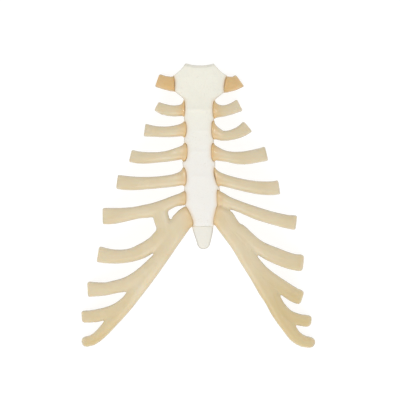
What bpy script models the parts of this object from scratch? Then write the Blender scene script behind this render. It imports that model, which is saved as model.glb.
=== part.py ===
"""A life-size teaching model of the human breastbone with its rib cartilages.

The breastbone is a hard white casting in three pieces: the manubrium, the body and the xiphoid
process. Ten soft tan cartilages grow from each side of it. The first five are free, and the sixth
to the tenth run together in the costal arch, where thin cuts part them.

The model lies on its back, as it rests on a table. +Z points up, out of the front of the chest.
+Y points to the head, and +X to the skeleton's own left. The origin is under the middle of the
model, at the level that it rests on.
"""

import math

import bmesh
import bpy
import numpy as np
from mathutils import Matrix, Vector

MM = 0.001

# Places are millimetres as seen from straight above. Across is measured from the middle of the
# view, and is positive on the skeleton's own left. Down is measured from the top of the manubrium.
SIGHT_DISTANCE = 2000.0  # the eye over the table
SIGHT_LEVEL = 36.0  # what lies at this height is seen in its true place
SIGHT_DOWN = 136.0  # straight below the eye

JOINT_GAP = 0.3  # between touching pieces
MANUBRIUM_TOP = -0.5
ANGLE_DOWN = 45.5  # the joint of manubrium and body, where the second ribs meet it
XIPHOID_DOWN = 161.8  # the joint of body and xiphoid process
XIPHOID_END = 184.5

# How the front of the chest curves, level by level: down, where its middle lies, height of the
# middle over the table, reach of the rib ends to either side, and how far they lie below the middle.
CHEST_LEVELS = [
    (0, -1.3, 13.0, 43, 12.5),
    (20, -1.3, 17.7, 44, 15.0),
    (45, -1.0, 26.4, 44, 12.5),
    (70, -1.8, 32.0, 54, 14.0),
    (120, -1.8, 38.8, 82, 20.0),
    (160, -1.8, 42.8, 97, 26.0),
    (190, -1.8, 44.8, 102, 31.0),
    (225, -1.8, 45.5, 108, 36.0),
    (255, -1.8, 45.1, 114, 39.5),
    (285, -1.8, 44.2, 114, 41.6),
]
CHEST_POWER = 2.2  # flat over the breastbone, steeper at the sides

# Rows of the breastbone: down, its edge on the right, its edge on the left, half its thickness.
MANUBRIUM_ROWS = [
    (MANUBRIUM_TOP, -18.6, 17.0, 6.2),
    (5, -26.0, 25.0, 6.5),
    (10, -28.2, 27.0, 6.6),
    (18, -26.4, 26.2, 6.4),
    (25.5, -26.2, 25.4, 6.0),
    (29, -24.0, 23.8, 5.7),
    (31.8, -19.8, 19.2, 5.5),
    (34.8, -16.6, 15.7, 5.4),
    (38.5, -16.2, 14.2, 5.3),
    (ANGLE_DOWN, -16.0, 13.6, 5.3),
]
BODY_ROWS = [
    (ANGLE_DOWN, -16.0, 13.6, 5.3),
    (57, -16.0, 13.8, 5.0),
    (67, -14.4, 12.6, 5.1),
    (77, -16.3, 13.8, 4.9),
    (88, -14.4, 12.6, 5.0),
    (99, -17.8, 15.0, 4.9),
    (112, -14.6, 14.4, 5.0),
    (124, -16.2, 19.4, 4.9),
    (139, -16.0, 19.4, 4.8),
    (147, -12.8, 16.8, 4.6),
    (156, -9.4, 14.6, 4.3),
    (XIPHOID_DOWN, -8.7, 13.6, 4.0),
]
XIPHOID_ROWS = [
    (XIPHOID_DOWN, -8.4, 13.2, 3.2),
    (167, -7.0, 12.4, 3.0),
    (173, -4.9, 11.2, 2.8),
    (179, -2.9, 9.7, 2.5),
    (XIPHOID_END, -1.7, 8.2, 2.2),
]
XIPHOID_SET_BACK = 0.9  # its face lies behind that of the body
JUGULAR_NOTCH = 2.0  # depth of the hollow in the top edge
JUGULAR_REACH = 13.0
JUGULAR_FADE = 14.0
RIM = 3.0  # how far the rounding of a free end reaches
XIPHOID_TAPER = 4.2

# Raised lines across the front where the pieces of the growing bone joined, as down and height.
RIDGES = [(ANGLE_DOWN, 0.9), (67, 0.45), (88, 0.5), (113, 0.55)]
RIDGE_WIDTH = 2.6

# The clavicular notch on each side: its two ends, and the radius of its hollow.
CLAVICLE_NOTCHES = {"right": ((-16.0, -0.6), (-27.2, 10.2)), "left": ((14.8, -0.6), (26.6, 9.6))}
CLAVICLE_RADIUS = 35.0
CLAVICLE_SEGMENTS = 96
MANUBRIUM_MIDDLE_DOWN = 20.0

# The free cartilages, from the breastbone out: across, down and width.
FREE_CARTILAGES = {
    ("right", 1): [(-26, 20.1, 14.4), (-29, 19.8, 14.3), (-37.8, 17.9, 13.2), (-42.8, 16.3, 13.4)],
    ("right", 2): [(-16.2, 45.7, 11.6), (-24, 46.9, 10.9), (-39.4, 44.2, 10.1), (-43.5, 42.1, 9.2)],
    ("right", 3): [(-16, 64.9, 12.8), (-20, 66, 12), (-45, 67.3, 10.9),
                   (-55.6, 65.9, 13)],
    ("right", 4): [(-16.4, 87.6, 13), (-22, 89.5, 12.3), (-30, 91.5, 10.8),
                   (-50, 93.6, 11), (-64.2, 93, 12.2), (-69.7, 91.7, 12.4)],
    ("right", 5): [(-17, 113.4, 13.6), (-22, 115.2, 12.6), (-40, 117.9, 11.7),
                   (-77.5, 118.5, 14.1), (-83.1, 117.7, 14.2)],
    ("left", 1): [(24.6, 21.0, 16.0), (27.5, 20.4, 15.6), (32, 19.7, 14), (35.6, 19.1, 14.3),
                  (39.4, 16.4, 14.5)],
    ("left", 2): [(14.2, 46.5, 15.2), (21, 47, 11.9), (35, 43.1, 11.4),
                  (39.4, 41, 12.8)],
    ("left", 3): [(13.8, 67.7, 11.8), (15.6, 68.6, 12), (20, 71.1, 10.3), (35, 69.7, 10.6),
                  (43.9, 65.2, 12.2), (47.4, 62.3, 12.8)],
    ("left", 4): [(13.4, 88.4, 13.2), (15.6, 89.1, 13.4), (20, 90.7, 11.9), (26, 92.2, 10.4),
                  (40, 93.8, 12.5), (60.8, 90.7, 14), (66.2, 89.5, 14.5)],
    ("left", 5): [(16.6, 113.4, 13.2), (21, 115.2, 12.3), (28, 117.2, 11.8),
                  (64, 124, 13.4), (73.2, 124, 13.9), (78.8, 123.1, 14)],
}
# The routes that run together in each costal arch. The margin is the arch's lower band, from the
# root of the seventh cartilage to the tip of the tenth, and the bridge joins the sixth to it.
ARCH_ROUTES = {
    "right": {
        "margin": [(-12.2, 152.4, 20.0), (-15, 154.3, 20.8), (-27, 171.2, 19), (-40.6, 194.5, 15.2),
                   (-55.4, 214.6, 15.7), (-74.4, 240.9, 13.4), (-91.5, 260.8, 11.9),
                   (-98.2, 268.5, 10.9), (-112, 277.4, 10.4), (-118.3, 277.2, 10.4)],
        "sixth": [(-17, 134.5, 12.6), (-28, 137.8, 10.9), (-33, 140.3, 12),
                  (-43.2, 144.7, 13.9), (-64, 148.6, 12), (-88, 151.9, 16.1), (-97.3, 152, 16.3)],
        "bridge": [(-39, 141, 13), (-39.4, 146, 14.4), (-39.4, 152, 15.4), (-37.8, 157, 15.6),
                   (-36.4, 162, 15.2), (-36.2, 168, 14.8), (-36.6, 174, 12)],
        "seventh": [(-26, 163, 16), (-37.5, 171.2, 16.4), (-44.8, 178.8, 15.6), (-51.2, 182.8, 14.6),
                    (-56.7, 186, 14.9), (-68.2, 190.6, 13.6), (-91.2, 192.1, 14.4), (-102, 190, 15.9)],
        "eighth": [(-39, 191, 12), (-44.8, 198.2, 14), (-55.4, 208.6, 14.6), (-72.5, 219.7, 14.6),
                   (-83.5, 222.2, 12.8), (-94.5, 224.7, 12.9), (-112.3, 225.1, 15.3)],
        "ninth": [(-65, 227, 11), (-70.5, 234.5, 12), (-76.1, 240.1, 12), (-109, 252.2, 12.2),
                  (-118.2, 252.5, 11.8)],
    },
    "left": {
        "margin": [(15.8, 150.4, 20.2), (20.2, 151.8, 21.4), (27.7, 161.3, 21.1), (33, 168.2, 21.2),
                   (38.7, 175.1, 21.9), (47.5, 192.9, 18.5), (57.1, 208.9, 17.6), (67.4, 226.6, 18.1),
                   (72.4, 234.5, 18), (76.5, 243.5, 16.8), (90.1, 265.4, 13.5), (94.2, 271.4, 12.4),
                   (107, 278.1, 10.9), (114.3, 277.7, 10.2)],
        "sixth": [(17.6, 133.4, 12.2), (21.2, 134.8, 12.6), (26, 137.8, 12.2), (35, 140.8, 10.8),
                  (55, 148.7, 12.1), (75, 154.6, 12.5), (90.5, 158.1, 14.1), (95.9, 158.7, 14.9)],
        "seventh": [(31, 163, 12), (37.5, 166.8, 16), (42.6, 171.7, 16.6), (56.2, 181.8, 14),
                    (75, 191.4, 16.2), (96, 198.2, 16.6), (103.1, 198.8, 17.1)],
        "eighth": [(47.5, 191.5, 14), (52.1, 198.1, 15), (61.8, 208.9, 15), (73.5, 218.4, 16.1),
                   (86.6, 226.1, 14.2), (96.2, 231.9, 14.6), (101.9, 233.7, 14.6)],
        "ninth": [(72.5, 230, 12), (78.5, 242.4, 13), (87.7, 251.8, 12.4), (100.7, 255.9, 11.6),
                  (110.8, 257, 11.7)],
    },
}
# The route whose free end each of the joined cartilages keeps.
ARCH_ENDS = {6: "sixth", 7: "seventh", 8: "eighth", 9: "ninth", 10: "margin"}
# Where the upper and the lower edge of each root meet the breastbone, and how far the root is set in.
ROOT_FACES = {
    ("right", 1): ((-26.0, 12.7), (-25.6, 27.1), 0.6),
    ("right", 2): ((-16.1, 36.3), (-16.2, 52.3), 0.6),
    ("right", 3): ((-16.2, 57.7), (-16.4, 73.1), 2.3),
    ("right", 4): ((-15.9, 79.1), (-16.6, 97.8), 3.2),
    ("right", 5): ((-17.2, 103.5), (-16.3, 121.9), 2.4),
    ("right", "sixth"): ((-16.6, 127.1), (-17.0, 141.1), 2.6),
    ("right", "margin"): ((-16.2, 142.6), (-7.8, 161.8), 2.2),
    ("left", 1): ((25.9, 13.3), (23.4, 28.2), 1.0),
    ("left", 2): ((14.2, 37.2), (14.1, 54.4), 1.6),
    ("left", 3): ((13.7, 56.8), (13.8, 75.1), 2.4),
    ("left", 4): ((13.3, 79.1), (13.4, 97.8), 2.2),
    ("left", 5): ((14.4, 103.5), (18.5, 122.6), 1.4),
    ("left", "sixth"): ((17.2, 125.5), (17.7, 142.3), 0.8),
    ("left", "margin"): ((17.6, 140.8), (13.6, 160.4), 0.8),
}
# The thin cuts between neighbours in the arch, each from one end to the other.
ARCH_CUTS = {
    "right": {(6, 7): ((-47.5, 161.5), (-28.5, 149.0)), (7, 8): ((-51.0, 192.6), (-14.0, 176.0)),
              (8, 9): ((-78.0, 230.0), (-43.0, 212.5)), (9, 10): ((-101.0, 259.0), (-69.0, 246.6))},
    "left": {(6, 7): ((34.0, 148.3), (10.0, 136.4)), (7, 8): ((61.0, 192.5), (25.0, 179.2)),
             (8, 9): ((86.0, 235.5), (48.0, 221.0)), (9, 10): ((99.0, 263.5), (66.0, 252.0))},
}
# How thick each cartilage is, from front to back, at its root and at its tip.
THICKNESS = {1: (10.0, 10.4), 2: (8.6, 8.2), 3: (8.6, 8.4), 4: (8.6, 8.6), 5: (8.8, 9.0)}
ARCH_THICKNESS = {"margin": (9.4, 7.4), "sixth": (9.0, 9.2), "bridge": (8.4, 8.3), "seventh": (9.2, 9.0),
                  "eighth": (8.8, 8.4), "ninth": (8.0, 7.6)}
# How far the rounding of a free end reaches, and the share of its width that stays flat.
TIP_ROUNDING = (1.2, 0.86)
ROUNDER_TIPS = {
    ("left", "sixth"): (2.2, 0.74), ("left", "seventh"): (3.6, 0.6), ("left", "eighth"): (3.4, 0.58),
    ("left", "ninth"): (4.6, 0.36), ("right", "ninth"): (2.4, 0.66),
    ("left", "margin"): (5.2, 0.12), ("right", "margin"): (5.0, 0.12),
}
# Rings over the rounding of a free end, as shares of its reach.
ROUND_TIP_STEPS = (0.6, 0.3, 0.1, 0.0)
TIP_STEPS = (0.3, 0.0)
LEAST_TIP_THICKNESS = 0.5  # as a share of the full thickness
TIP_TURN = 9.0  # over this length the free ends turn until they are cut upright
ROOT_SHARE = 0.6  # of the width, at the innermost end of a root
ROOT_STEPS = (0.0, 0.3, 0.65)  # rings inside the breastbone, as shares of the depth
SPREAD_REACH = 4.0  # over this length the edges of a root spread to meet the breastbone
SPREAD_POWER = 2.2
SPREAD_STEPS = (0.0, 0.7, 1.6, 2.6)
SLANT_REACH = 10.0  # over this length the slant of its innermost end fades out
SLANT_POWER = 1.5
START_ROUNDING = 2.8  # where a route starts inside another one
START_SHARE = 0.64
START_STEPS = (0.0, 0.7, 1.6)
SECTION_POWER = 2.4  # between an ellipse and a box
TIP_POWER = 3.2
CARTILAGE_SIDES = 14
RING_SPACING = 5.5
BRIDGE_SPACING = 2.6
DIRECTION_STEP = 0.25

PLATE_SIDES = 28
PLATE_POWER = 3.0
PLATE_SPACING = 3.5
RIM_STEPS = (0.0, 0.5, 1.4)  # rings over the rounding of the manubrium's top edge
RIM_SHARE = 0.5
XIPHOID_STEPS = (2.4, 1.0, 0.3, 0.0)  # rings over the rounding of the xiphoid's end
XIPHOID_END_SHARE = 0.25

SOCKET_REACH = 14.0
SOCKET_HEIGHT = 34.0
CUTTER_HEIGHT = 100.0
TABLE_BLOCK = 400.0
SLIVER = 0.02  # shorter edges that the Booleans leave are closed up

BONE_COLOUR = (0.86, 0.83, 0.76)
BONE_ROUGHNESS = 0.6
CARTILAGE_COLOUR = (0.72, 0.58, 0.38)
CARTILAGE_ROUGHNESS = 0.45
SHARP_ANGLE = math.radians(40)


def through(knots, values, at):
    """Values at the places asked for, on a smooth line through the known ones."""
    knots = np.asarray(knots, float)
    values = np.asarray(values, float)
    slopes = np.gradient(values, knots, axis=0)
    i = np.clip(np.searchsorted(knots, at, side="right") - 1, 0, len(knots) - 2)
    step = knots[i + 1] - knots[i]
    t = (at - knots[i]) / step
    return (
        values[i] * (1 + 2 * t) * (1 - t) ** 2
        + values[i + 1] * t * t * (3 - 2 * t)
        + slopes[i] * step * t * (1 - t) ** 2
        + slopes[i + 1] * step * t * t * (t - 1)
    )


def chest_height(across, down):
    """Height over the table of the middle of the chest's front wall."""
    levels = np.array(CHEST_LEVELS)
    middle, top, reach, drop = through(levels[:, 0], levels[:, 1:], down)
    return top - drop * (abs(across - middle) / reach) ** CHEST_POWER


def chest_point(across, down, lift=0.0):
    """The point of the chest's front wall that is seen at a place, moved up by the lift."""
    height = chest_height(across, down)
    spread = 1 + (SIGHT_LEVEL - height) / SIGHT_DISTANCE
    return Vector((across * spread, -SIGHT_DOWN - (down - SIGHT_DOWN) * spread, height + lift))


def chest_normal(across, down):
    """The way that the chest's front wall faces."""
    step = DIRECTION_STEP
    along_x = chest_point(across + step, down) - chest_point(across - step, down)
    along_y = chest_point(across, down - step) - chest_point(across, down + step)
    return along_x.cross(along_y).normalized()


def section(centre, side, up, half_width, half_thickness, power, sides):
    """A ring of points between an ellipse and a box, in the plane of side and up."""
    ring = []
    for k in range(sides):
        angle = 2 * math.pi * (k + 0.5) / sides
        c, s = math.cos(angle), math.sin(angle)
        x = half_width * math.copysign(abs(c) ** (2 / power), c)
        z = half_thickness * math.copysign(abs(s) ** (2 / power), s)
        ring.append(centre + side * x + up * z)
    return ring


def smooth(t):
    """An even step from 0 to 1."""
    t = min(1.0, max(0.0, t))
    return t * t * (3 - 2 * t)


def rounding(distance, depth, least):
    """Share of the full size at a distance from an end that is rounded over depth."""
    if distance >= depth:
        return 1.0
    return least + (1 - least) * math.sqrt(max(0.0, 1 - (1 - distance / depth) ** 2))


def cap(bm, ring):
    """Closes an end of a solid with a strip of faces from side to side."""
    last = len(ring) - 1
    for k in range(len(ring) // 2 - 1):
        bm.faces.new((ring[k], ring[k + 1], ring[last - k - 1], ring[last - k]))


def mesh_object(name, rings, material):
    """A closed solid through rings of points."""
    bm = bmesh.new()
    made = [[bm.verts.new(Vector(p) * MM) for p in ring] for ring in rings]
    for near, far in zip(made, made[1:]):
        for k in range(len(near)):
            n = (k + 1) % len(near)
            bm.faces.new((near[k], near[n], far[n], far[k]))
    cap(bm, made[0])
    cap(bm, made[-1])
    bmesh.ops.recalc_face_normals(bm, faces=bm.faces)
    mesh = bpy.data.meshes.new(name)
    bm.to_mesh(mesh)
    bm.free()
    return linked(name, mesh, material)


def linked(name, mesh, material):
    obj = bpy.data.objects.new(name, mesh)
    bpy.context.scene.collection.objects.link(obj)
    if material:
        mesh.materials.append(material)
    return obj


def route_line(stations):
    """The stations as rows, and how far along the route each of them is."""
    rows = np.array(stations, float)
    chords = np.linalg.norm(np.diff(rows[:, :2], axis=0), axis=1)
    return rows, np.concatenate([[0], np.cumsum(chords)])


def route_frame(rows, knots, place, turn=0.0):
    """Centre, forward, side, up and width of a route at a place. A turn of 1 levels it."""
    across, down, width = through(knots, rows, place)
    ahead = through(knots, rows, place + DIRECTION_STEP)
    behind = through(knots, rows, place - DIRECTION_STEP)
    forward = (chest_point(*ahead[:2]) - chest_point(*behind[:2])).normalized()
    side = forward.cross(chest_normal(across, down)).normalized()
    forward = Vector((forward.x, forward.y, forward.z * (1 - turn))).normalized()
    side = (side - forward * side.dot(forward)).normalized()
    return chest_point(across, down), forward, side, side.cross(forward), width


def root_frame(rows, knots, face, place, turn=0.0):
    """Centre, forward, side, up and width near a root. Places below 0 are set in the breastbone."""
    centre, forward, side, up, width = route_frame(rows, knots, max(0.0, place), turn)
    first, _, first_side, _, first_width = route_frame(rows, knots, 0.0)
    spread_share = max(0.0, 1 - max(0.0, place) / SPREAD_REACH) ** SPREAD_POWER
    slant_share = (1 - max(0.0, place) / SLANT_REACH) ** SLANT_POWER
    headward = math.copysign(0.5, side.y)
    edges = []
    for corner, half in zip(face[:2], (headward, -headward)):
        moved = chest_point(*corner) - first - first_side * first_width * half
        slant = forward * moved.dot(forward)
        edges.append(centre + side * width * half + slant * slant_share + (moved - slant) * spread_share)
    across = (edges[0] - edges[1]) * math.copysign(1, headward)
    side = across.normalized()
    up = (up - side * up.dot(side)).normalized()
    forward = up.cross(side)
    centre = (edges[0] + edges[1]) / 2 + forward * min(0.0, place)
    return centre, forward, side, up, across.length


def spread_places(start, end, spacing):
    """Even places after the start, up to the end."""
    count = max(2, round((end - start) / spacing))
    return [start + (end - start) * k / count for k in range(1, count + 1)]


def root_places(face):
    """Places of the rings from the innermost end of a root to the end of its spread edges."""
    depth = face[2]
    return [depth * (step - 1) for step in ROOT_STEPS] + [*SPREAD_STEPS, SPREAD_REACH]


def cartilage_rings(stations, thickness, face=None, tip=TIP_ROUNDING, spacing=RING_SPACING):
    """Rings of a cartilage along its stations of across, down and width."""
    rows, knots = route_line(stations)
    length = knots[-1]
    reach, tip_share = tip
    tip_steps = TIP_STEPS if tip == TIP_ROUNDING else ROUND_TIP_STEPS
    places = root_places(face) if face else [*START_STEPS, START_ROUNDING]
    places += spread_places(places[-1], length - reach, spacing)
    places += [length - reach * step for step in tip_steps]
    rings = []
    for place in places:
        turn = smooth(1 - (length - place) / TIP_TURN)
        narrow = rounding(length - place, reach, tip_share)
        if face and place < SLANT_REACH:
            centre, _, side, up, width = root_frame(rows, knots, face, place, turn)
            narrow *= rounding(place + face[2], face[2], ROOT_SHARE)
        else:
            centre, _, side, up, width = route_frame(rows, knots, place, turn)
        if not face:
            narrow *= rounding(place, START_ROUNDING, START_SHARE)
        thin = rounding(length - place, reach, max(tip_share, LEAST_TIP_THICKNESS))
        full = thickness[0] + (thickness[1] - thickness[0]) * max(0.0, place) / length
        power = SECTION_POWER + (TIP_POWER - SECTION_POWER) * turn
        rings.append(section(centre, side, up, width / 2 * narrow, full / 2 * thin, power, CARTILAGE_SIDES))
    return rings


def socket_rings(stations, face):
    """Rings of a tall cutter that is a gap wider all round than the root of a cartilage."""
    rows, knots = route_line(stations)
    rings = []
    for place in [*root_places(face), *spread_places(SPREAD_REACH, SOCKET_REACH, RING_SPACING)]:
        if place < SLANT_REACH:
            centre, forward, side, up, width = root_frame(rows, knots, face, place)
        else:
            centre, forward, side, up, width = route_frame(rows, knots, place)
        if place < 0:
            centre = centre - forward * JOINT_GAP
        half_width = width / 2 * rounding(place + face[2], face[2], ROOT_SHARE) + JOINT_GAP
        rings.append(section(centre, side, up, half_width, SOCKET_HEIGHT, SECTION_POWER, CARTILAGE_SIDES))
    return rings


def plate_rings(rows, top, bottom, round_top=False, round_bottom=False, set_back=0.0):
    """Rings of a piece of the breastbone, from top to bottom."""
    table = np.array(rows, float)
    places = spread_places(top, bottom, PLATE_SPACING)
    if round_top:
        places = [top + step for step in RIM_STEPS] + places
    else:
        places = [top] + places
    if round_bottom:
        places = places[:-1] + [bottom - step for step in XIPHOID_STEPS]
    rings = []
    for down in places:
        right, left, half = through(table[:, 0], table[:, 1:], down)
        thin, narrow = 1.0, 1.0
        if round_top:
            thin = rounding(down - top, RIM, RIM_SHARE)
        if round_bottom:
            thin = rounding(bottom - down, RIM, RIM_SHARE)
            narrow = rounding(bottom - down, XIPHOID_TAPER, XIPHOID_END_SHARE)
        middle, width = (right + left) / 2, (left - right) / 2 * narrow
        ridge = sum(height * math.exp(-(((down - place) / RIDGE_WIDTH) ** 2)) for place, height in RIDGES)
        ring = []
        for k in range(PLATE_SIDES):
            angle = 2 * math.pi * (k + 0.5) / PLATE_SIDES
            c, s = math.cos(angle), math.sin(angle)
            across = middle + width * math.copysign(abs(c) ** (2 / PLATE_POWER), c)
            lift = half * thin * math.copysign(abs(s) ** (2 / PLATE_POWER), s) + max(0.0, s) * ridge
            hollow = 0.0
            if round_top:
                hollow = JUGULAR_NOTCH * max(0.0, 1 - (across / JUGULAR_REACH) ** 2)
                hollow *= max(0.0, 1 - down / JUGULAR_FADE)
            ring.append(chest_point(across, down + hollow, lift - set_back))
        rings.append(ring)
    return rings


def boolean(obj, others, operation):
    """Applies one Boolean with a collection of other solids, which are then removed."""
    cutters = bpy.data.collections.new("cutters")
    for other in others:
        cutters.objects.link(other)
    modifier = obj.modifiers.new("boolean", "BOOLEAN")
    modifier.operation = operation
    modifier.operand_type = "COLLECTION"
    modifier.collection = cutters
    modifier.solver = "EXACT"
    graph = bpy.context.evaluated_depsgraph_get()
    mesh = bpy.data.meshes.new_from_object(obj.evaluated_get(graph))
    obj.modifiers.remove(modifier)
    obj.data = mesh
    for other in others:
        bpy.data.objects.remove(other)
    bpy.data.collections.remove(cutters)


def material(name, colour, roughness):
    made = bpy.data.materials.new(name)
    made.use_nodes = True
    shader = made.node_tree.nodes["Principled BSDF"]
    shader.inputs["Base Color"].default_value = (*colour, 1)
    shader.inputs["Roughness"].default_value = roughness
    shader.inputs["Metallic"].default_value = 0.0
    return made


def sockets():
    """Cutters that open the costal notches in the edges of the breastbone."""
    made = []
    for (side, route), face in ROOT_FACES.items():
        stations = FREE_CARTILAGES.get((side, route)) or ARCH_ROUTES[side][route]
        made.append(mesh_object("socket", socket_rings(stations, face), None))
    return made


def clavicle_cutters():
    """Upright cylinders that hollow the two upper corners of the manubrium."""
    made = []
    for first, second in CLAVICLE_NOTCHES.values():
        a, b = Vector((first[0], -first[1])), Vector((second[0], -second[1]))
        middle, half = (a + b) / 2, (b - a).length / 2
        outward = (b - a).orthogonal().normalized()
        if outward.dot(middle - Vector((0, -MANUBRIUM_MIDDLE_DOWN))) < 0:
            outward.negate()
        centre = middle + outward * math.sqrt(CLAVICLE_RADIUS**2 - half**2)
        bm = bmesh.new()
        radius = CLAVICLE_RADIUS * MM
        place = Matrix.Translation(centre.to_3d() * MM)
        bmesh.ops.create_cone(
            bm, cap_ends=True, segments=CLAVICLE_SEGMENTS, radius1=radius, radius2=radius,
            depth=CUTTER_HEIGHT * MM, matrix=place,
        )
        mesh = bpy.data.meshes.new("clavicle_cutter")
        bm.to_mesh(mesh)
        bm.free()
        made.append(linked("clavicle_cutter", mesh, None))
    return made


def breastbone(bone):
    """The manubrium, the body and the xiphoid process, with a thin gap between them."""
    half_gap = JOINT_GAP / 2
    top = plate_rings(MANUBRIUM_ROWS, MANUBRIUM_TOP, ANGLE_DOWN - half_gap, round_top=True)
    middle = plate_rings(BODY_ROWS, ANGLE_DOWN + half_gap, XIPHOID_DOWN - half_gap)
    end = plate_rings(
        XIPHOID_ROWS, XIPHOID_DOWN + half_gap, XIPHOID_END, round_bottom=True, set_back=XIPHOID_SET_BACK
    )
    manubrium = mesh_object("manubrium", top, bone)
    body = mesh_object("sternal_body", middle, bone)
    xiphoid = mesh_object("xiphoid_process", end, bone)
    for obj in (manubrium, body, xiphoid):
        boolean(obj, sockets() + clavicle_cutters(), "DIFFERENCE")
        obj.data = part_of(obj.data, max(islands(obj.data), key=len), obj.name)
        obj.data.materials.append(bone)
    return [manubrium, body, xiphoid]


def cartilage_name(number, side):
    return f"costal_cartilage_{number:02d}_{side}"


def free_cartilages(tan):
    made = []
    for (side, number), stations in FREE_CARTILAGES.items():
        rings = cartilage_rings(stations, THICKNESS[number], ROOT_FACES[(side, number)])
        made.append(mesh_object(cartilage_name(number, side), rings, tan))
    return made


def cut_slab(ends):
    """A thin upright slab between two places on the chest."""
    a, b = (chest_point(*end) for end in ends)
    a.z = b.z = SIGHT_LEVEL
    along = b - a
    bm = bmesh.new()
    bmesh.ops.create_cube(bm, size=1)
    size = Matrix.Diagonal((along.length, JOINT_GAP, CUTTER_HEIGHT, 1))
    turn = Matrix.Rotation(math.atan2(along.y, along.x), 4, "Z")
    place = Matrix.Translation((a + b) / 2)
    bm.transform(Matrix.Scale(MM, 4) @ place @ turn @ size)
    mesh = bpy.data.meshes.new("slab")
    bm.to_mesh(mesh)
    bm.free()
    return linked("slab", mesh, None)


def islands(mesh):
    """The separate closed bodies of a mesh, each as a set of vertex numbers."""
    group = list(range(len(mesh.vertices)))

    def root(v):
        while group[v] != v:
            group[v] = group[group[v]]
            v = group[v]
        return v

    for a, b in mesh.edge_keys:
        group[root(a)] = root(b)
    found = {}
    for v in range(len(mesh.vertices)):
        found.setdefault(root(v), set()).add(v)
    return list(found.values())


def part_of(mesh, kept, name):
    """A new mesh of the kept vertices, with its shortest edges closed up."""
    bm = bmesh.new()
    bm.from_mesh(mesh)
    bmesh.ops.delete(bm, geom=[v for v in bm.verts if v.index not in kept], context="VERTS")
    bmesh.ops.dissolve_degenerate(bm, dist=SLIVER * MM, edges=bm.edges)
    made = bpy.data.meshes.new(name)
    bm.to_mesh(made)
    bm.free()
    return made


def arch(side, tan):
    """The costal arch of one side, joined whole and then parted into its cartilages."""
    routes = ARCH_ROUTES[side]
    pieces = []
    for name, stations in routes.items():
        tip = ROUNDER_TIPS.get((side, name), TIP_ROUNDING)
        spacing = BRIDGE_SPACING if name == "bridge" else RING_SPACING
        rings = cartilage_rings(stations, ARCH_THICKNESS[name], ROOT_FACES.get((side, name)), tip, spacing)
        pieces.append(mesh_object(name, rings, tan))
    whole = pieces[0]
    boolean(whole, pieces[1:], "UNION")
    boolean(whole, [cut_slab(ends) for ends in ARCH_CUTS[side].values()], "DIFFERENCE")
    bodies = islands(whole.data)
    made = []
    for number, route in ARCH_ENDS.items():
        across, down, _ = routes[route][-1]
        tip = chest_point(across, down) * MM
        kept = min(bodies, key=lambda body: min((whole.data.vertices[v].co - tip).length for v in body))
        name = cartilage_name(number, side)
        made.append(linked(name, part_of(whole.data, kept, name), tan))
    bpy.data.objects.remove(whole)
    return made


def rest_on_table(objects):
    """Cuts a small flat on each tip that reaches the table, and centres the model over the origin."""
    for obj in objects:
        if min(v.co.z for v in obj.data.vertices) < 0:
            bm = bmesh.new()
            bmesh.ops.create_cube(bm, size=TABLE_BLOCK * MM)
            bm.transform(Matrix.Translation(Vector((0, -SIGHT_DOWN, -TABLE_BLOCK / 2)) * MM))
            mesh = bpy.data.meshes.new("table")
            bm.to_mesh(mesh)
            bm.free()
            boolean(obj, [linked("table", mesh, None)], "DIFFERENCE")
    places = np.array([v.co for obj in objects for v in obj.data.vertices])
    low, high = places.min(axis=0), places.max(axis=0)
    shift = Matrix.Translation((-(low[0] + high[0]) / 2, -(low[1] + high[1]) / 2, 0))
    for obj in objects:
        obj.data.transform(shift)


def main():
    for obj in list(bpy.data.objects):
        bpy.data.objects.remove(obj)
    bone = material("bone_white", BONE_COLOUR, BONE_ROUGHNESS)
    tan = material("cartilage_tan", CARTILAGE_COLOUR, CARTILAGE_ROUGHNESS)
    objects = breastbone(bone) + free_cartilages(tan) + arch("right", tan) + arch("left", tan)
    rest_on_table(objects)
    model = bpy.data.collections.new("breastbone_model")
    bpy.context.scene.collection.children.link(model)
    for obj in objects:
        bpy.context.scene.collection.objects.unlink(obj)
        model.objects.link(obj)
        obj.data.shade_smooth()
        obj.data.set_sharp_from_angle(angle=SHARP_ANGLE)


main()
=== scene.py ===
"""The looks of a teaching model of the human breastbone with its rib cartilages.

Smooth skins take the place of the faceted solids: one over the manubrium and the body, one over the
xiphoid process, one over each free cartilage and one over each costal arch. Every skin then gets
its modelled detail, and its material reads what was modelled, and where shade and light are painted,
through vertex attributes.
"""
import itertools

import bmesh
import bpy
import numpy as np
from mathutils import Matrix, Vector
from mathutils.kdtree import KDTree


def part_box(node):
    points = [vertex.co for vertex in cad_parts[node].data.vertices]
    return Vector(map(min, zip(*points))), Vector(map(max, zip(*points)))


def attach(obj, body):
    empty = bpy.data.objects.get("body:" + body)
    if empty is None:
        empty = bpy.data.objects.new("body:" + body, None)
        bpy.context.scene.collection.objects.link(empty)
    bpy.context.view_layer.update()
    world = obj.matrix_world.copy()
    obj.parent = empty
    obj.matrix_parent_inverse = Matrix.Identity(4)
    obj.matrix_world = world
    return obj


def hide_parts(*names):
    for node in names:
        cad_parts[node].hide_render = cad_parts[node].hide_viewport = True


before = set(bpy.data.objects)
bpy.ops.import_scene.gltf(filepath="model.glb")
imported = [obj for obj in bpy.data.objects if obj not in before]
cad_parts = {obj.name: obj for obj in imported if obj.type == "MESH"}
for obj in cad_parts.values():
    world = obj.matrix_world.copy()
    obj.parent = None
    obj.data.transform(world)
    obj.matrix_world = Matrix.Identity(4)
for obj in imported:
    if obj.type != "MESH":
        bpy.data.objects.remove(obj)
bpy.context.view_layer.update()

MM = 0.001
SIDES = ("right", "left")
FREE_NUMBERS = range(1, 6)
ARCH_NUMBERS = range(6, 11)

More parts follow.
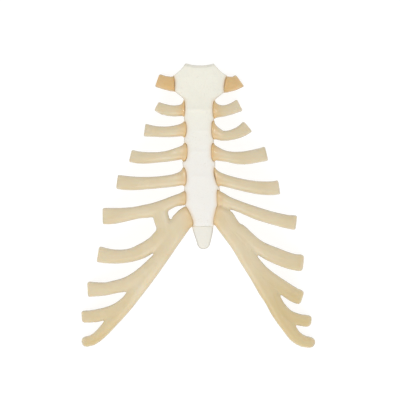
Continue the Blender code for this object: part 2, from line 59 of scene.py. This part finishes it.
# Skins, in millimetres.
WELD = 0.01
GROWTH = 0.35  # closes the thin cuts between the solids before they are fused
VOXEL = 0.5
EASE = 0.5  # how far a round of smoothing moves a point towards its neighbours' mean
CRISP_ROUNDS = 5  # smoothing that leaves edges crisp
FACET_ROUNDS = 10  # more of it away from the free ends, to take the facets off
BLEND_ROUNDS = 60  # and more again where branches run together
TIP_KEEP = 7.0  # the free ends stay crisp over this length
TIP_FADE = 7.0
ROOT_KEEP = 1.0  # and so do the corners of the roots
ROOT_FADE = 4.0
ROOT_CONTACT = 0.17  # a skin's size over its solid, so that roots and sockets meet
BREASTBONE_CONTACT = 0.085
ROOT_FLARE = 0.3  # more of it at a root, which is sunk in its socket

# The free ends, in millimetres.
END_DEPTH = 3.0  # points this near to the far end give its middle
END_BACK = 12.0  # and points further back than this give the way that it points
END_RADIUS = 16.0

# Maps of a piece as seen from above, in millimetres.
PLAN_CELL = 0.5
PLAN_MARGIN = 3.0
LEVEL_BLUR = 2.5
OUTLINE_BLUR = 2.5
RIM_BLUR = 2.0
DIRECTION_BLUR = 6.0
BLUR_PASSES = 3
BLUR_SPREAD = 1.7  # a blur's radius for each cell that its running mean reaches
LAST_CELL = 1.001  # keeps a place just inside the map's last cell
TINY = 1e-6  # keeps a share of nothing from dividing by nothing

# Noise: a hash of whole places.
HASH_AXES = (73856093, 19349663, 83492791)
HASH_SEED = 2654435761
HASH_MIX = ((13, 1274126177), (15, 668265263))
HASH_KEEP = 0x7FFFFFFF
HASH_VALUES = 0xFFFF
SEED_SHIFT = 13.7
NOISE_MIDDLE = 0.5  # where noise lies once it is stored for a material
NOISE_SHARE = 0.22


def node_name(number, side):
    return f"costal_cartilage_{number:02d}_{side}"


def read_points(mesh):
    """The vertices of a mesh, in millimetres."""
    flat = np.empty(len(mesh.vertices) * 3, np.float32)
    mesh.vertices.foreach_get("co", flat)
    return flat.reshape(-1, 3).astype(float) / MM


def write_points(mesh, points):
    mesh.vertices.foreach_set("co", (points * MM).astype(np.float32).ravel())
    mesh.update()


def read_normals(mesh):
    flat = np.empty(len(mesh.vertices) * 3, np.float32)
    mesh.vertex_normals.foreach_get("vector", flat)
    return flat.reshape(-1, 3).astype(float)


def read_edges(mesh):
    flat = np.empty(len(mesh.edges) * 2, np.int32)
    mesh.edges.foreach_get("vertices", flat)
    return flat.reshape(-1, 2)


def relax(values, edges, rounds, share=EASE):
    """Moves each value towards the mean of its neighbours, round by round."""
    count = len(values)
    start = np.concatenate([edges[:, 0], edges[:, 1]])
    end = np.concatenate([edges[:, 1], edges[:, 0]])
    degree = np.maximum(np.bincount(start, minlength=count), 1)
    columns = values.reshape(count, -1).copy()
    share = np.broadcast_to(share, count)
    for _ in range(rounds):
        for column in columns.T:
            mean = np.bincount(start, weights=column[end], minlength=count) / degree
            column += share * (mean - column)
    return columns.reshape(values.shape)


def smooth_form(mesh, rounds, share=EASE):
    """Takes facets and kinks off a mesh and gives back the size that smoothing takes."""
    points, edges = read_points(mesh), read_edges(mesh)
    write_points(mesh, relax(points, edges, rounds, share))
    normals = read_normals(mesh)
    relaxed = read_points(mesh)
    lost = ((points - relaxed) * normals).sum(axis=1)
    lost = relax(lost, edges, rounds)
    write_points(mesh, relaxed + normals * lost[:, None])


def smoothstep(low, high, value):
    t = np.clip((value - low) / (high - low), 0, 1)
    return t * t * (3 - 2 * t)


def bell(value, width):
    return np.exp(-((value / width) ** 2))


def lumps(points, size, seed):
    """Smooth noise from -1 to 1, with lumps of a size."""
    place = points / size + seed * SEED_SHIFT
    cell = np.floor(place).astype(np.int64)
    part = place - cell
    part = part * part * (3 - 2 * part)
    total = np.zeros(len(points))
    for corner in itertools.product((0, 1), repeat=3):
        code = np.bitwise_xor.reduce((cell + corner) * HASH_AXES, axis=1) ^ (seed * HASH_SEED)
        for shift, factor in HASH_MIX:
            code = ((code ^ (code >> shift)) * factor) & HASH_KEEP
        value = (code & HASH_VALUES) / (HASH_VALUES / 2) - 1
        weight = np.prod(np.where(corner, part, 1 - part), axis=1)
        total += value * weight
    return total


def placed(name, data):
    """A new object in the scene."""
    made = bpy.data.objects.new(name, data)
    bpy.context.scene.collection.objects.link(made)
    return made


def skin(name, nodes):
    """A fine closed mesh over CAD nodes, with the thin cuts between them closed."""
    bm = bmesh.new()
    for node in nodes:
        bm.from_mesh(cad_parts[node].data)
    bmesh.ops.remove_doubles(bm, verts=bm.verts, dist=WELD * MM)
    bm.normal_update()
    for vertex in bm.verts:
        vertex.co += vertex.normal * GROWTH * MM
    rough = bpy.data.meshes.new(name)
    bm.to_mesh(rough)
    bm.free()
    piece = placed(name, rough)
    remesh = piece.modifiers.new("voxels", "REMESH")
    remesh.mode = "VOXEL"
    remesh.voxel_size = VOXEL * MM
    graph = bpy.context.evaluated_depsgraph_get()
    fine = bpy.data.meshes.new_from_object(piece.evaluated_get(graph))
    fine.name = name
    piece.modifiers.clear()
    piece.data = fine
    bpy.data.meshes.remove(rough)
    fine.shade_smooth()
    return piece


def shrink(piece, distance):
    points = read_points(piece.data) - read_normals(piece.data) * distance
    write_points(piece.data, points)


def tree_of(points):
    tree = KDTree(len(points))
    for index, point in enumerate(points):
        tree.insert(point, index)
    tree.balance()
    return tree


def distances(points, tree):
    """How far each point lies from the nearest one in a tree."""
    return np.array([tree.find(point)[2] for point in points])


def free_end(node, bone_tree):
    """The middle of a cartilage's free end, and the way that it points."""
    points = read_points(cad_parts[node].data)
    reach = distances(points, bone_tree)
    end = points[reach > reach.max() - END_DEPTH].mean(axis=0)
    near = np.linalg.norm(points - end, axis=1) < END_RADIUS
    behind = points[near & (reach < reach.max() - END_BACK)].mean(axis=0)
    heading = (end - behind) * (1, 1, 0)
    return end, heading / np.linalg.norm(heading)


class Plan:
    """A map of one piece as seen from above, in square cells."""

    def __init__(self, points):
        self.corner = points[:, :2].min(axis=0) - PLAN_MARGIN
        size = (points[:, :2].max(axis=0) + PLAN_MARGIN - self.corner) / PLAN_CELL
        self.shape = tuple(size.astype(int) + 2)
        cells = tuple(((points[:, :2] - self.corner) / PLAN_CELL).round().astype(int).T)
        top = np.full(self.shape, -np.inf)
        bottom = np.full(self.shape, np.inf)
        np.maximum.at(top, cells, points[:, 2])
        np.minimum.at(bottom, cells, points[:, 2])
        self.covered = np.isfinite(top)
        top[~self.covered] = 0
        bottom[~self.covered] = 0
        cover = self.covered.astype(float)
        weight = self.blur(cover, LEVEL_BLUR)
        self.level = self.blur((top + bottom) / 2, LEVEL_BLUR) / np.maximum(weight, TINY)
        self.rim = self.blur(cover, RIM_BLUR)
        slope_x, slope_y = np.gradient(self.blur(cover, OUTLINE_BLUR))
        xx = self.blur(slope_x * slope_x, DIRECTION_BLUR)
        yy = self.blur(slope_y * slope_y, DIRECTION_BLUR)
        xy = self.blur(slope_x * slope_y, DIRECTION_BLUR)
        across = 0.5 * np.arctan2(2 * xy, xx - yy)
        self.along = np.stack([-np.sin(across), np.cos(across)], axis=-1)

    def blur(self, grid, radius):
        """Passes of a running mean."""
        reach = max(1, round(radius / PLAN_CELL / BLUR_SPREAD))
        width = 2 * reach + 1
        for _ in range(BLUR_PASSES):
            for axis in (0, 1):
                padding = [(0, 0), (0, 0)]
                padding[axis] = (reach + 1, reach)
                total = np.cumsum(np.pad(grid, padding), axis=axis)
                low = np.take(total, np.arange(grid.shape[axis]), axis=axis)
                high = np.take(total, np.arange(grid.shape[axis]) + width, axis=axis)
                grid = (high - low) / width
        return grid

    def at(self, grid, points):
        """The value of a grid at each point."""
        place = (points[:, :2] - self.corner) / PLAN_CELL
        place = np.clip(place, 0, np.array(self.shape) - LAST_CELL)
        cell = place.astype(int)
        part = place - cell
        x, y = cell.T
        u, v = part.T
        return (
            grid[x, y] * (1 - u) * (1 - v) + grid[x + 1, y] * u * (1 - v)
            + grid[x, y + 1] * (1 - u) * v + grid[x + 1, y + 1] * u * v
        )

    def from_top(self, points):
        """How far each point lies below the outline's upper edge."""
        rows = self.shape[1] - np.argmax(self.covered[:, ::-1], axis=1)
        edge = self.corner[1] + rows * PLAN_CELL
        columns = ((points[:, 0] - self.corner[0]) / PLAN_CELL).round().astype(int)
        return edge[columns] - points[:, 1]

    def facing(self, points):
        """The way that the chest's front wall faces at each point."""
        slope_x, slope_y = np.gradient(self.level, PLAN_CELL)
        columns = [-self.at(slope_x, points), -self.at(slope_y, points), np.ones(len(points))]
        up = np.stack(columns, axis=1)
        return up / np.linalg.norm(up, axis=1)[:, None]

    def combed(self, width, length, seed):
        """Noise drawn out along the piece: streaks of a width and a length, with a spread of 1."""
        noise = np.random.default_rng(seed).normal(size=self.shape)
        noise = self.blur(noise, width) if width > PLAN_CELL else noise
        cells = np.argwhere(self.covered).astype(float)
        total = noise[self.covered].copy()
        for direction in (1, -1):
            place = cells.copy()
            heading = self.along[self.covered] * direction
            for _ in range(int(length / 2 / PLAN_CELL)):
                place = np.clip(place + heading, 0, np.array(self.shape) - 1)
                x, y = place.round().astype(int).T
                total += noise[x, y]
                turned = self.along[x, y]
                same = np.sign((turned * heading).sum(axis=1))
                heading = turned * np.where(same == 0, 1, same)[:, None]
        streaks = np.zeros(self.shape)
        streaks[self.covered] = (total - total.mean()) / total.std()
        weight = self.blur(self.covered.astype(float), PLAN_CELL)
        beyond = self.blur(streaks, PLAN_CELL) / np.maximum(weight, TINY)
        return np.where(self.covered, streaks, beyond)


def store(mesh, name, values):
    attribute = mesh.attributes.new(name, "FLOAT", "POINT")
    attribute.data.foreach_set("value", values.astype(np.float32))


def store_noise(mesh, name, values):
    store(mesh, name, NOISE_MIDDLE + NOISE_SHARE * values)


# Detail of the soft mouldings, in millimetres.
SWELL = (15.0, 0.22)  # size and height of broad unevenness
DIMPLE = (5.0, 0.07)
RIBBON = (1.6, 40.0, 0.10)  # width, length and height of lengthwise facets
STREAK = (0.5, 14.0, 0.022)  # the same of fine drawn lines
FLANK_LOSS = 0.7  # the share of facets and lines that the edges lose
OUT_MOST = GROWTH * 0.9  # as far out as these stand
SEAM_HEIGHT = 0.14
SEAM_WIDTH = 0.38
SEAM_WANDER = (22.0, 0.5)  # size and height of the parting line's waves
SOCKET_FADE = (0.8, 4.0)  # from the bone, over which detail comes in
FLARE_FADE = (0.6, 2.4)

# Where the soft mouldings change colour, much of it painted shade. A facing is the share of a
# surface's own direction.
FLANK_FACING = (0.2, 0.75)  # towards the chest's front or back: less than this on an edge
FLANK_FADE = (0.8, 2.6)
SHADE_FACING = (0.3, 0.85)  # towards the head, where an edge gets the most painted shade
SHADE_FLANK = (0.35, 0.9)
SHADE_FADE = (0.6, 2.0)
ROOT_REACH = 7.0
ROOT_WARM = (15.0, 60.0)  # the upper roots are the warmest
ROOT_LEAST = 0.7
RIM_DARK = 1.6  # a line of painted shade in the crease where a root meets the casting
CUT_BAND = (0.6, 2.6)  # how far the band of painted shade on a cut end's rounded rim reaches back
LOWER_FROM = -60.0  # towards the feet from here the vinyl is yellower in tone and darker with painted shade
LOWER_FULL = -125.0
LOWER_LEAN = 0.22  # and more so on the left


def finish_cartilage(piece, bone_tree, ends, seed):
    """Models the unevenness, drawn lines and parting line of a soft moulding, and stores masks for
    its colour, painted shade among them.
    """
    mesh = piece.data
    points, normals = read_points(mesh), read_normals(mesh)
    plan = Plan(points)
    facing = (plan.facing(points) * normals).sum(axis=1)
    flank = 1 - smoothstep(*FLANK_FACING, np.abs(facing))
    height = points[:, 2] - plan.at(plan.level, points)
    ribbon = plan.at(plan.combed(RIBBON[0], RIBBON[1], seed), points)
    streak = plan.at(plan.combed(STREAK[0], STREAK[1], seed + 1), points)
    seam_level = SEAM_WANDER[1] * lumps(points, SEAM_WANDER[0], seed + 2)
    seam = bell(height - seam_level, SEAM_WIDTH) * flank
    from_bone = distances(points, bone_tree)
    free = smoothstep(*SOCKET_FADE, from_bone)
    flare = ROOT_FLARE * (1 - smoothstep(*FLARE_FADE, from_bone))
    out = SWELL[1] * lumps(points, SWELL[0], seed + 3)
    out += DIMPLE[1] * lumps(points, DIMPLE[0], seed + 4)
    out += (1 - FLANK_LOSS * flank) * (RIBBON[2] * ribbon + STREAK[2] * streak)
    out = np.minimum(out, OUT_MOST) + SEAM_HEIGHT * seam
    moved = points + normals * (out * free + flare)[:, None]
    moved[:, 2] = np.maximum(moved[:, 2], 0)  # the tips rest on the table
    write_points(mesh, moved)
    # Painted shade on the rounded rim of each cut end.
    cut = np.zeros(len(points))
    for end, heading in ends:
        near = np.linalg.norm((points - end)[:, :2], axis=1) < END_RADIUS
        ahead = (points[near] - end) @ heading
        cut[near] = np.maximum(cut[near], 1 - smoothstep(*CUT_BAND, ahead.max() - ahead))
    store(mesh, "cut", cut)
    # Yellower in tone towards the feet, and darker there with painted shade.
    down = LOWER_FROM - points[:, 1] + LOWER_LEAN * points[:, 0]
    store(mesh, "lower", smoothstep(0, LOWER_FROM - LOWER_FULL, down))
    # Painted shade on edges that face the head, in the crease at each root, and on every edge.
    shade = smoothstep(*SHADE_FACING, normals[:, 1]) * (1 - smoothstep(*SHADE_FLANK, np.abs(facing)))
    warm = ROOT_LEAST + (1 - ROOT_LEAST) * smoothstep(*ROOT_WARM, points[:, 1])
    store(mesh, "root", bell(from_bone, ROOT_REACH) * warm)
    store(mesh, "rim", bell(from_bone, RIM_DARK))
    store(mesh, "flank", flank * smoothstep(*FLANK_FADE, from_bone))
    store(mesh, "shade", shade * smoothstep(*SHADE_FADE, from_bone))
    store_noise(mesh, "streak", streak)
    # Paler streaks along the facets: partly the vinyl's grain, partly painted sheen.
    store_noise(mesh, "ribbon", ribbon)


def cartilage_skin(name, nodes, bone_tree, seed):
    """The smooth skin of one moulding, with its free ends kept crisp."""
    piece = skin(name, nodes)
    ends = [free_end(node, bone_tree) for node in nodes]
    rough_points = read_points(piece.data)
    from_end = distances(rough_points, tree_of([end for end, _ in ends]))
    inward = smoothstep(TIP_KEEP, TIP_KEEP + TIP_FADE, from_end)
    from_root = distances(rough_points, bone_tree)
    outward = smoothstep(ROOT_KEEP, ROOT_KEEP + ROOT_FADE, from_root)
    smooth_form(piece.data, CRISP_ROUNDS)
    smooth_form(piece.data, FACET_ROUNDS, EASE * inward * outward)
    if len(nodes) > 1:
        smooth_form(piece.data, BLEND_ROUNDS, EASE * inward)
    shrink(piece, GROWTH - ROOT_CONTACT)
    finish_cartilage(piece, bone_tree, ends, seed)
    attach(piece, "root")
    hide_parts(*nodes)
    return piece


# Detail of the hard casting, in millimetres.
BONE_SWELL = (9.0, 0.20)
BONE_DIMPLE = (3.2, 0.09)
BONE_FIBRE = (0.5, 9.0, 0.03)
BONE_FREE = (0.25, 1.2)  # from a root, over which detail comes in
PORE_SIZE = 0.9
PORE_DEPTH = 0.16
PORE_NOISE = (0.45, 0.9)  # only the highest noise makes a pore
PORE_LEAST = 0.35
ROUGH_SIZE = 12.0  # patches with more pores
ROUGH_NOISE = (-0.2, 0.7)
RIM_HEIGHT = 0.30
RIM_REACH = 1.4
RIM_FACING = (0.2, 0.7)  # raised towards the front alone
BEVEL_DOWN = 2.4  # a line under the top edge: a groove, with painted shade in it
BEVEL_WIDTH = 0.7
BEVEL_DEPTH = 0.22
BEVEL_REACH = (13.0, 16.0)  # to either side of the middle, where it fades
BEVEL_ABOVE = 120.0  # on the manubrium alone

# Where the casting changes colour, much of it painted shade.
EDGE_COVER = (0.5, 0.95)  # the share of covered map round a point, from the outline inwards
BONE_FLANK = (0.3, 0.85)
ROOT_CLEAR = (0.6, 2.4)  # no painted edge shade near a root
JOINT_CLEAR = (0.8, 3.0)  # nor at the xiphoid's joint
TINGE_REACH = 2.6  # the warm tinge round a root
UPPER_BONE = (30.0, 110.0)  # the casting is warmer above, partly its own tone and partly painted light where the manubrium slopes away from the softbox


def finish_bone(piece, root_tree, seed):
    """Models the unevenness, pores, fibre, raised notch rims and top groove of the casting, and
    stores masks for its colour, painted shade and painted light among them.
    """
    mesh = piece.data
    points, normals = read_points(mesh), read_normals(mesh)
    plan = Plan(points)
    facing = (plan.facing(points) * normals).sum(axis=1)
    flank = 1 - smoothstep(*BONE_FLANK, np.abs(facing))
    fibre = plan.at(plan.combed(BONE_FIBRE[0], BONE_FIBRE[1], seed), points)
    from_root = distances(points, root_tree)
    rim = bell(from_root - RIM_REACH, RIM_REACH) * smoothstep(*RIM_FACING, facing)
    rough = smoothstep(*ROUGH_NOISE, lumps(points, ROUGH_SIZE, seed + 1))
    pores = smoothstep(*PORE_NOISE, lumps(points, PORE_SIZE, seed + 2))
    pores *= PORE_LEAST + (1 - PORE_LEAST) * rough
    free = smoothstep(*BONE_FREE, from_root)
    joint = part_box("xiphoid_process")[1][1] / MM
    from_joint = np.abs(points[:, 1] - joint)
    clear = smoothstep(*ROOT_CLEAR, from_root) * smoothstep(*JOINT_CLEAR, from_joint)
    # A groove under the top edge, whose mask also carries painted shade.
    bevel = bell(plan.from_top(points) - BEVEL_DOWN, BEVEL_WIDTH) * (facing > 0)
    bevel *= 1 - smoothstep(*BEVEL_REACH, np.abs(points[:, 0]))
    bevel *= points[:, 1] > BEVEL_ABOVE
    out = BONE_SWELL[1] * lumps(points, BONE_SWELL[0], seed + 3)
    out += BONE_DIMPLE[1] * lumps(points, BONE_DIMPLE[0], seed + 4)
    out += BONE_FIBRE[2] * fibre + RIM_HEIGHT * rim - PORE_DEPTH * pores - BEVEL_DEPTH * bevel
    write_points(mesh, points + normals * (np.minimum(out, GROWTH) * free)[:, None])
    # Painted shade along the outline, and (flank) on the side walls.
    edge = 1 - smoothstep(*EDGE_COVER, plan.at(plan.rim, points))
    store(mesh, "pores", pores)
    store(mesh, "edge", edge * clear)
    store(mesh, "flank", flank * clear)
    store_noise(mesh, "fibre", fibre)
    store(mesh, "bevel", bevel)
    store(mesh, "root", bell(from_root, TINGE_REACH))
    store(mesh, "upper", smoothstep(*UPPER_BONE, points[:, 1]))


def bone_skin(name, nodes, contact):
    piece = skin(name, nodes)
    smooth_form(piece.data, CRISP_ROUNDS)
    shrink(piece, GROWTH - contact)
    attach(piece, "root")
    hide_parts(*nodes)
    return piece


# Sockets of the node that mixes two colours.
MIX_SHARE = 0
MIX_COLOURS = (6, 7)
MIX_RESULT = 2
NOISE_DETAIL = 3.0


class Nodes:
    """Short ways of making and linking the nodes of one material."""

    def __init__(self, name):
        self.material = bpy.data.materials.new(name)
        self.material.use_nodes = True
        self.tree = self.material.node_tree
        self.shader = self.tree.nodes["Principled BSDF"]

    def add(self, kind, **settings):
        node = self.tree.nodes.new(kind)
        for key, value in settings.items():
            setattr(node, key, value)
        return node

    def link(self, output, socket):
        self.tree.links.new(output, socket)

    def attribute(self, name):
        return self.add("ShaderNodeAttribute", attribute_name=name).outputs["Fac"]

    def noise(self, scale, detail=NOISE_DETAIL):
        node = self.add("ShaderNodeTexNoise")
        node.inputs["Scale"].default_value = scale
        node.inputs["Detail"].default_value = detail
        self.link(self.add("ShaderNodeTexCoord").outputs["Object"], node.inputs["Vector"])
        return node.outputs["Fac"]

    def ramp(self, value, low, high, low_to=0.0, high_to=1.0):
        """A value spread over a range."""
        node = self.add("ShaderNodeMapRange", clamp=True)
        self.link(value, node.inputs["Value"])
        node.inputs["From Min"].default_value = low
        node.inputs["From Max"].default_value = high
        node.inputs["To Min"].default_value = low_to
        node.inputs["To Max"].default_value = high_to
        return node.outputs["Result"]

    def mix(self, share, first, second):
        """Two colours mixed. Each may be a colour or another node's output."""
        node = self.add("ShaderNodeMix", data_type="RGBA")
        self.link(share, node.inputs[MIX_SHARE])
        for place, colour in zip(MIX_COLOURS, (first, second)):
            if isinstance(colour, tuple):
                node.inputs[place].default_value = (*colour, 1)
            else:
                self.link(colour, node.inputs[place])
        return node.outputs[MIX_RESULT]

    def tint(self, colour, attribute, share, towards):
        """A colour mixed towards another by an attribute of the mesh."""
        amount = self.ramp(self.attribute(attribute), 0.0, 1.0, 0.0, share)
        return self.mix(amount, colour, towards)

    def bump(self, height, strength, distance):
        node = self.add("ShaderNodeBump")
        node.inputs["Strength"].default_value = strength
        node.inputs["Distance"].default_value = distance
        self.link(height, node.inputs["Height"])
        self.link(node.outputs["Normal"], self.shader.inputs["Normal"])

    def scatter(self, weight, radius, scale):
        self.shader.inputs["Subsurface Weight"].default_value = weight
        self.shader.inputs["Subsurface Radius"].default_value = radius
        self.shader.inputs["Subsurface Scale"].default_value = scale


# Colours are linear. Noise sizes are counts to the metre.
VINYL = (0.69, 0.57, 0.355)
VINYL_PALE = (0.72, 0.615, 0.42)
VINYL_ROOT = (0.72, 0.46, 0.17)
VINYL_LOWER = (0.62, 0.475, 0.215)
# Painted shade for the edges, cut ends and root creases.
VINYL_EDGE_SHADE = (0.47, 0.415, 0.31)
VINYL_FIRST = (0.66, 0.45, 0.185)  # the first pair
VINYL_FIRST_PALE = (0.75, 0.51, 0.25)
# Painted shade for the first pair.
VINYL_FIRST_EDGE_SHADE = (0.40, 0.28, 0.14)
VINYL_CLOUD = 60.0
VINYL_ROUGH = (0.32, 0.5)
VINYL_GRAIN = (900.0, 2.0)  # size and detail
VINYL_BUMP = (0.2, 0.0001)  # strength and depth
VINYL_SCATTER = (0.3, (1.0, 0.6, 0.3), 0.0025)  # weight, radius and scale
COAT_CLOUD = 35.0
COAT_NOISE = (0.35, 0.65)
COAT_ROUGH = (0.12, 0.28)
CLOUD_NOISE = (0.3, 0.7)


def vinyl(name, main, pale, edge, coat, rim_shade_share):
    """Soft, glossy, slightly translucent moulding, warmer near its root and yellower towards the
    feet; with painted shade on its edges, cut ends and lower parts, a set share of it in the root
    crease, and painted sheen along its facets.
    """
    made = Nodes(name)
    cloud = made.ramp(made.noise(VINYL_CLOUD), *CLOUD_NOISE)
    colour = made.mix(cloud, main, pale)
    for attribute, share, towards in (
        # yellower in tone, and darker with painted shade, towards the feet
        ("lower", 0.85, VINYL_LOWER),
        ("root", 0.9, VINYL_ROOT),
        # partly grain, partly painted sheen
        ("ribbon", 0.3, pale),
        # painted shade on the edges, head-facing sides, root creases and cut ends
        ("flank", 0.55, edge),
        ("shade", 0.5, edge),
        ("rim", rim_shade_share, edge),
        ("cut", 0.35, edge),
    ):
        colour = made.tint(colour, attribute, share, towards)
    shader = made.shader.inputs
    made.link(colour, shader["Base Color"])
    made.link(made.ramp(made.attribute("streak"), 0.0, 1.0, *VINYL_ROUGH), shader["Roughness"])
    made.bump(made.noise(*VINYL_GRAIN), *VINYL_BUMP)
    made.scatter(*VINYL_SCATTER)
    shader["Coat Weight"].default_value = coat
    coat_rough = made.ramp(made.noise(COAT_CLOUD), *COAT_NOISE, *COAT_ROUGH)
    made.link(coat_rough, shader["Coat Roughness"])
    return made.material


CASTING = (0.865, 0.843, 0.785)
CASTING_COOL = (0.872, 0.853, 0.808)
# Warmer above: partly the casting's own tone, partly painted light.
CASTING_UPPER = (0.89, 0.87, 0.76)
CASTING_PORE = (0.66, 0.60, 0.50)
# Painted shade for the outline, side walls and top groove.
CASTING_EDGE_SHADE = (0.43, 0.40, 0.35)
CASTING_ROOT = (0.80, 0.64, 0.45)
CASTING_CLOUD = 45.0
CASTING_ROUGH = (0.45, 0.62)
CASTING_GRAIN = (1400.0, 3.0)
CASTING_BUMP = (0.3, 0.0001)
CASTING_SCATTER = (0.08, (1.0, 0.8, 0.6), 0.002)
XIPHOID = (0.84, 0.81, 0.71)
XIPHOID_COOL = (0.82, 0.80, 0.73)


def casting(name, main, cool, edge_shade_share):
    """Hard, matt, cream-white casting, with darker pores, painted shade on its edges, side walls and
    top groove, and a warmer top, partly painted light.
    """
    made = Nodes(name)
    cloud = made.ramp(made.noise(CASTING_CLOUD), *CLOUD_NOISE)
    colour = made.mix(cloud, main, cool)
    for attribute, share, towards in (
        # partly its own tone, partly painted light
        ("upper", 1.0, CASTING_UPPER),
        ("pores", 0.4, CASTING_PORE),
        ("root", 0.75, CASTING_ROOT),
        # painted shade in the top groove, along the outline and on the side walls
        ("bevel", 0.25, CASTING_EDGE_SHADE),
        ("edge", edge_shade_share, CASTING_EDGE_SHADE),
        ("flank", 0.45, CASTING_EDGE_SHADE),
    ):
        colour = made.tint(colour, attribute, share, towards)
    shader = made.shader.inputs
    made.link(colour, shader["Base Color"])
    made.link(made.ramp(made.attribute("fibre"), 0.0, 1.0, *CASTING_ROUGH), shader["Roughness"])
    made.bump(made.noise(*CASTING_GRAIN), *CASTING_BUMP)
    made.scatter(*CASTING_SCATTER)
    return made.material


FIRST_SEED = 11
SEED_STEP = 10
BREASTBONE_SEED = 501
XIPHOID_SEED = 601
ROOT_SAMPLE = 2  # every second point of the cartilages is enough to find their roots


def build():
    bone = bone_skin("breastbone", ("manubrium", "sternal_body"), BREASTBONE_CONTACT)
    xiphoid = bone_skin("xiphoid", ("xiphoid_process",), ROOT_CONTACT)
    bone_tree = tree_of(np.concatenate([read_points(bone.data), read_points(xiphoid.data)]))
    tan = vinyl("tan_vinyl", VINYL, VINYL_PALE, VINYL_EDGE_SHADE, coat=0.7, rim_shade_share=0.0)
    satin = vinyl("satin_vinyl", VINYL, VINYL_PALE, VINYL_EDGE_SHADE, coat=0.5, rim_shade_share=0.0)
    first = (VINYL_FIRST, VINYL_FIRST_PALE, VINYL_FIRST_EDGE_SHADE)
    # The first pair also gets painted shade in the crease at its roots.
    brown = vinyl("brown_vinyl", *first, coat=0.6, rim_shade_share=0.45)
    moulds = []
    for side in SIDES:
        for number in FREE_NUMBERS:
            material = brown if number == 1 else tan
            moulds.append((f"cartilage_{number}_{side}", [node_name(number, side)], material))
        nodes = [node_name(number, side) for number in ARCH_NUMBERS]
        moulds.append((f"costal_arch_{side}", nodes, satin))
    cartilages = []
    for index, (name, nodes, material) in enumerate(moulds):
        piece = cartilage_skin(name, nodes, bone_tree, FIRST_SEED + SEED_STEP * index)
        piece.data.materials.append(material)
        cartilages.append(piece)
    roots = [read_points(piece.data)[::ROOT_SAMPLE] for piece in cartilages]
    root_tree = tree_of(np.concatenate(roots))
    finish_bone(bone, root_tree, BREASTBONE_SEED)
    finish_bone(xiphoid, root_tree, XIPHOID_SEED)
    bone.data.materials.append(casting("cream_casting", CASTING, CASTING_COOL, edge_shade_share=0.22))
    # The xiphoid is darker, with much more painted shade along its outline.
    xiphoid.data.materials.append(casting("darker_xiphoid_casting", XIPHOID, XIPHOID_COOL, edge_shade_share=0.75))


# Camera and light, in metres and watts.
SIGHT = (0.00181, 0.00589)
SIGHT_HEIGHT = 2.036
LENS = 180.0
SENSOR = 36.0
CLIP_END = 20.0
WHITE = (1.0, 1.0, 1.0, 1)
ROOM = 0.785
LIGHT_TARGET = (0.0, 0.0, 0.03)
SOFTBOX_PLACE = (-0.2, -1.15, 1.8)
SOFTBOX_SIZE = (2.4, 1.6)
SOFTBOX_POWER = 16.0
STRIP_PLACE = (0.1, 0.85, 1.95)
STRIP_SIZE = (1.4, 0.06)
STRIP_POWER = 9.0
FLOOR_SIZE = 6.0
FLOOR_CUTS = 8
FLOOR_DROP = 0.00005
FLOOR_DARK = (0.30, 0.30, 0.30)
FLOOR_PALE = (0.32, 0.32, 0.32)
FLOOR_CLOUD = 3.0
FLOOR_ROUGHNESS = 0.9
FLOOR_GLOW = 0.76  # a lit table, as white as the photo's ground


def camera():
    data = bpy.data.cameras.new("camera")
    data.lens = LENS
    data.sensor_width = SENSOR
    data.clip_end = CLIP_END
    made = placed("camera", data)
    made.location = (*SIGHT, SIGHT_HEIGHT)
    bpy.context.scene.camera = made


def area_light(name, place, size, power):
    data = bpy.data.lights.new(name, "AREA")
    data.shape = "RECTANGLE"
    data.size, data.size_y = size
    data.energy = power
    made = placed(name, data)
    made.location = place
    heading = Vector(LIGHT_TARGET) - Vector(place)
    made.rotation_euler = heading.to_track_quat("-Z", "Y").to_euler()
    return made


def floor():
    """A white table that glows a little."""
    bm = bmesh.new()
    bmesh.ops.create_grid(bm, x_segments=FLOOR_CUTS, y_segments=FLOOR_CUTS, size=FLOOR_SIZE / 2)
    mesh = bpy.data.meshes.new("floor")
    bm.to_mesh(mesh)
    bm.free()
    table = placed("floor", mesh)
    table.location.z = -FLOOR_DROP
    made = Nodes("white_table")
    shader = made.shader.inputs
    made.link(made.mix(made.noise(FLOOR_CLOUD), FLOOR_DARK, FLOOR_PALE), shader["Base Color"])
    shader["Roughness"].default_value = FLOOR_ROUGHNESS
    shader["Emission Color"].default_value = WHITE
    shader["Emission Strength"].default_value = FLOOR_GLOW
    mesh.materials.append(made.material)


def studio():
    """A white table in an evenly white room, with a broad light and a narrow one."""
    world = bpy.data.worlds.new("studio")
    world.use_nodes = True
    background = world.node_tree.nodes["Background"].inputs
    background["Color"].default_value = WHITE
    background["Strength"].default_value = ROOM
    bpy.context.scene.world = world
    area_light("softbox", SOFTBOX_PLACE, SOFTBOX_SIZE, SOFTBOX_POWER)
    strip = area_light("strip", STRIP_PLACE, STRIP_SIZE, STRIP_POWER)
    strip.visible_diffuse = False  # seen only as a streak of gloss
    floor()


build()
camera()
studio()
bpy.context.scene.view_settings.view_transform = "Standard"
